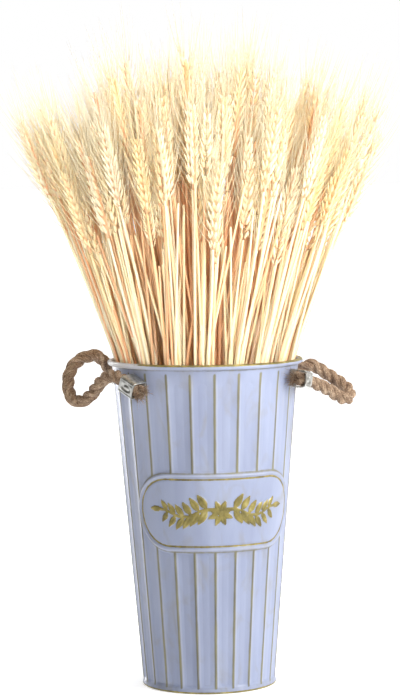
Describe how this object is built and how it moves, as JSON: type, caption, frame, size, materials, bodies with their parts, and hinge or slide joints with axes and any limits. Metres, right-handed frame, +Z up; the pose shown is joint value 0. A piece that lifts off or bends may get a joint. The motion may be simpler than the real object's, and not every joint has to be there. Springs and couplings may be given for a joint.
{
  "type": "dried wheat ears in a flower bucket",
  "caption": "Sheaf of dried bearded wheat ears on their straws, standing in a tall tapered fluted metal bucket with twisted rope handles; a free-standing decoration",
  "frame": {"origin": "middle of the flat underside of the bucket, on the surface that it stands on", "axes": "+Z up along the bucket's axis; the embossed plaque faces -Y; the rope handles are at -X and +X"},
  "size_m": [0.3776, 0.3775, 0.65],
  "materials": {
    "painted_sheet": "satin lavender-blue paint, worn to dull gold on the arrises, rim and foot",
    "base_sheet": "satin lavender-blue paint",
    "strap_steel": "bare bent steel",
    "jute": "three-strand twisted jute, hairy",
    "straw": "dry straw, satin stems and matt ears"
  },
  "bodies": {
    "root": {"bucket_shell": "painted_sheet", "bucket_base": "base_sheet", "rope_left": "jute", "rope_right": "jute", "strap_left_front": "strap_steel", "strap_left_back": "strap_steel", "strap_right_front": "strap_steel", "strap_right_back": "strap_steel", "wheat_01": "straw", "wheat_02": "straw", "wheat_03": "straw", "wheat_04": "straw", "wheat_05": "straw", "wheat_06": "straw", "wheat_07": "straw", "wheat_08": "straw", "wheat_09": "straw", "wheat_10": "straw", "wheat_11": "straw", "wheat_12": "straw", "wheat_13": "straw", "wheat_14": "straw", "wheat_15": "straw", "wheat_16": "straw", "wheat_17": "straw", "wheat_18": "straw", "wheat_19": "straw", "wheat_20": "straw", "wheat_21": "straw", "wheat_22": "straw", "wheat_23": "straw", "wheat_24": "straw", "wheat_25": "straw", "wheat_26": "straw", "wheat_27": "straw", "wheat_28": "straw", "wheat_29": "straw", "wheat_30": "straw", "wheat_31": "straw", "wheat_32": "straw", "wheat_33": "straw", "wheat_34": "straw", "wheat_35": "straw", "wheat_36": "straw", "wheat_37": "straw"}
  },
  "joints": []
}
